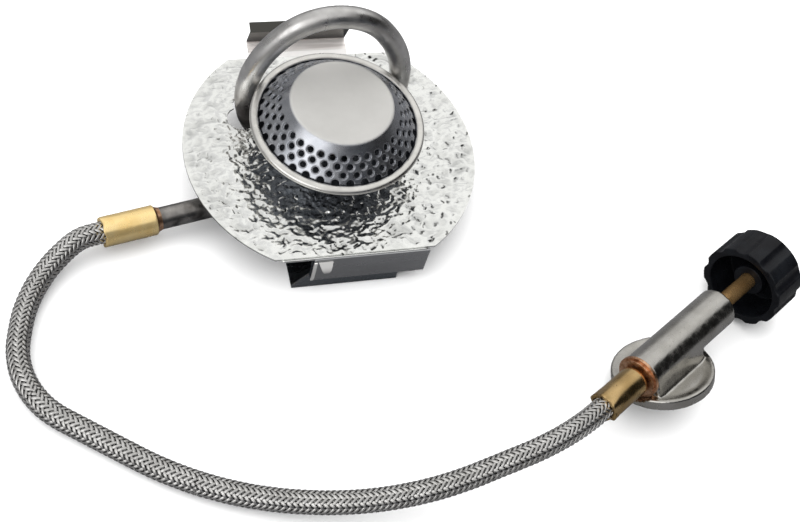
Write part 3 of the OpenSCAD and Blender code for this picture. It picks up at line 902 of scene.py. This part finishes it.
def camera():
    """A camera at the viewing angle, rolled as the view is."""
    back = Vector((math.sin(VIEW_AZIMUTH) * math.cos(VIEW_ELEVATION),
                   -math.cos(VIEW_AZIMUTH) * math.cos(VIEW_ELEVATION), math.sin(VIEW_ELEVATION)))
    right = Vector((math.cos(VIEW_AZIMUTH), math.sin(VIEW_AZIMUTH), 0))
    up = back.cross(right)
    rolled_right = right * math.cos(VIEW_ROLL) + up * math.sin(VIEW_ROLL)
    rolled_up = up * math.cos(VIEW_ROLL) - right * math.sin(VIEW_ROLL)
    data = bpy.data.cameras.new("camera")
    data.lens = LENS
    data.clip_start = 0.01
    made = bpy.data.objects.new("camera", data)
    turn = Matrix((rolled_right, rolled_up, back)).transposed().to_4x4()
    made.matrix_world = Matrix.Translation(VIEW_AIM + back * VIEW_DISTANCE) @ turn
    bpy.context.scene.collection.objects.link(made)
    bpy.context.scene.camera = made


def area_light(name, place, size, power):
    """A soft light, aimed at the burner, that polished metal doesn't show."""
    data = bpy.data.lights.new(name, "AREA")
    data.shape = "SQUARE"
    data.size = size
    data.energy = power
    made = bpy.data.objects.new(name, data)
    made.location = place
    made.rotation_euler = (-Vector(place)).to_track_quat("-Z", "Y").to_euler()
    made.visible_glossy = False
    bpy.context.scene.collection.objects.link(made)


ROOM = 0.34                 # brightness of the room that the object reflects
# Its soft patches, each over the ones before: direction, cosines of its edge and core, brightness, tint
ROOM_PATCHES = [
    ((0.15, 0.35, 1), (0.40, 0.66), 0.84, (1, 1, 1)),               # ceiling
    ((0.85, 0.45, -0.25), (0.80, 0.95), 0.05, (1, 1, 1)),           # low on the right
    ((0.28, 0.49, 0.83), (0.90, 0.99), 1.04, (1, 1, 0.985)),        # what level metal reflects
    ((0.5, -0.86, 0.1), (0.70, 0.86), 0.048, (0.9, 1, 1.2)),        # in front
    ((0.84, -0.27, 0.45), (0.82, 0.93), 0.015, (1, 1, 1)),          # high on the right
    ((-0.69, -0.48, 0.54), (0.82, 0.98), 2.0, (1, 1, 1)),           # window on the left
]


def room_patch(tree, towards, edge, core):
    """0 at directions further than edge from this one, 1 within core, both as cosines."""
    add, link = tree.nodes.new, tree.links.new
    dot = add("ShaderNodeVectorMath")
    dot.operation = "DOT_PRODUCT"
    link(add("ShaderNodeTexCoord").outputs["Generated"], dot.inputs[0])
    dot.inputs[1].default_value = Vector(towards).normalized()
    ease = add("ShaderNodeMapRange")
    ease.interpolation_type = "SMOOTHSTEP"
    link(dot.outputs["Value"], ease.inputs["Value"])
    ease.inputs["From Min"].default_value = edge
    ease.inputs["From Max"].default_value = core
    return ease.outputs[0]


def room_colour(tree):
    """The room with its patches laid over each other."""
    add, link = tree.nodes.new, tree.links.new
    room = add("ShaderNodeRGB").outputs[0]
    room.default_value = (ROOM, ROOM, ROOM, 1)
    for towards, reach, level, tint in ROOM_PATCHES:
        layer = add("ShaderNodeMix")
        layer.data_type = "RGBA"
        link(room_patch(tree, towards, *reach), layer.inputs["Factor"])
        link(room, layer.inputs[6])
        layer.inputs[7].default_value = (*[level * k for k in tint], 1)
        room = layer.outputs[2]
    return room


def world_light():
    """White to the camera; to the object, a bright room with dark sides in front and on the right."""
    world = bpy.data.worlds.new("studio")
    bpy.context.scene.world = world
    world.use_nodes = True
    tree = world.node_tree
    tree.nodes.clear()
    add, link = tree.nodes.new, tree.links.new
    shown = add("ShaderNodeBackground")
    link(room_colour(tree), shown.inputs["Color"])
    white = add("ShaderNodeBackground")
    white.inputs["Color"].default_value = (1, 1, 1, 1)
    choose = add("ShaderNodeMixShader")
    link(add("ShaderNodeLightPath").outputs["Is Camera Ray"], choose.inputs[0])
    link(shown.outputs[0], choose.inputs[1])
    link(white.outputs[0], choose.inputs[2])
    link(choose.outputs[0], add("ShaderNodeOutputWorld").inputs[0])


def floor():
    """A plain pale floor under the object."""
    half = 1.5
    lowest = cad_box[0].z - 0.3 * MM
    corners = [(x, y, lowest) for x, y in ((-half, -half), (half, -half), (half, half), (-half, half))]
    made = new_piece("floor", corners, [(0, 1, 2, 3)])
    f = Finish("floor", metallic=0.0, roughness=1.0)
    pale = f.mix(f.noise(300, 1), (0.90, 0.90, 0.90), (0.93, 0.93, 0.93))
    seen = f.node("LightPath").outputs["Is Camera Ray"]
    f.colour(f.mix(seen, (0.16, 0.16, 0.165), pale))
    f.shader.inputs["Specular IOR Level"].default_value = 0.0
    made.data.materials.append(f.material)


def studio():
    world_light()
    area_light("overhead", (0, 0, 1.2), 1.6, 20)
    area_light("left", (-0.9, 0.1, 0.7), 0.8, 4)
    floor()
    bpy.context.scene.view_settings.view_transform = "Standard"


# ---- The object ----

def paint(material, slot, *names):
    """Gives CAD nodes a material."""
    for name in names:
        nodes[name].data.materials.clear()
        nodes[name].data.materials.append(material)


def round_edges(width, *names):
    """Rounds the edges of folded-sheet nodes."""
    for name in names:
        bevel = nodes[name].modifiers.new("edges", "BEVEL")
        bevel.width = width * MM
        bevel.segments = 3
        bevel.limit_method = "ANGLE"
        bevel.angle_limit = math.radians(25)


def main():
    steel, cap_skin, plate_steel = satin_steel(), cap_steel(), hammered_sheet()
    golden = brass("golden_brass", (0.78, 0.55, 0.22), (0.88, 0.685, 0.345), 0.0, 0.7)
    browned = brass("browned_brass", (0.42, 0.28, 0.12), (0.60, 0.42, 0.20), 1.0)
    orange = brass("spindle_brass", (0.36, 0.21, 0.085), (0.50, 0.31, 0.135), 0.1, 0.8, 0.002)
    copper_skin, nickel, black = copper(), nickel_casting(), black_plastic()
    paint(steel, "satin_steel", "mixing_tube", "tube_nut")
    paint(cap_skin, "satin_steel", "burner_cap")
    paint(bowl_steel(), "satin_steel", "burner_bowl")
    paint(tube_steel(), "tube_steel", "vaporiser_tube", "inlet_filter")
    paint(sheet_steel("bracket_sheet", (0.20, 0.225, 0.25), (0.28, 0.30, 0.32), 0.26),
          "dark_sheet", "base_bracket")
    paint(sheet_steel("clip_sheet", (0.36, 0.365, 0.375), (0.46, 0.465, 0.475), 0.30),
          "dark_sheet", "front_clip")
    paint(spring_sheet(), "bright_sheet", "rear_clip")
    paint(browned, "brass", "jet_nozzle", "jet_block", "burner_nipple", "swivel_nipple",
          "pin_depressor")
    paint(orange, "brass", "spindle")
    paint(copper_skin, "copper", "braze_ring", "swivel_ring")
    paint(rubber(), "rubber", "canister_seal", "spindle_seal",
          *[f"hose_liner_{k}" for k in range(1, 7)])
    round_edges(0.25, "base_bracket", "front_clip", "rear_clip", "tube_nut")
    hammered_shield(plate_steel)
    shield_hem(plate_steel)
    # Painted highlight: the clip's turned edge and tongue get a much lighter copy of the clip's sheet.
    clip_trim(sheet_steel("clip_sheet_painted_highlight", (0.80, 0.79, 0.77), (0.90, 0.89, 0.87), 0.34, 0.4))
    hole_collars(cap_skin)
    hose(braid_wire())
    ferrule("burner_sleeve", "burner_ferrule", "burner", 0.25, golden, FERRULE_BORE)
    ferrule("valve_sleeve", "valve_ferrule", "hose_6", 0.75, browned, NIPPLE_BORE)
    finish_piece(softened("valve_casting", "valve_body", 0.4, 14), nickel, "valve",
                 "nickel_casting", "valve_body")
    finish_piece(softened("fluted_knob", "control_knob", 0.3, 3), black, "needle",
                 "black_plastic", "control_knob")


main()
studio()
camera()
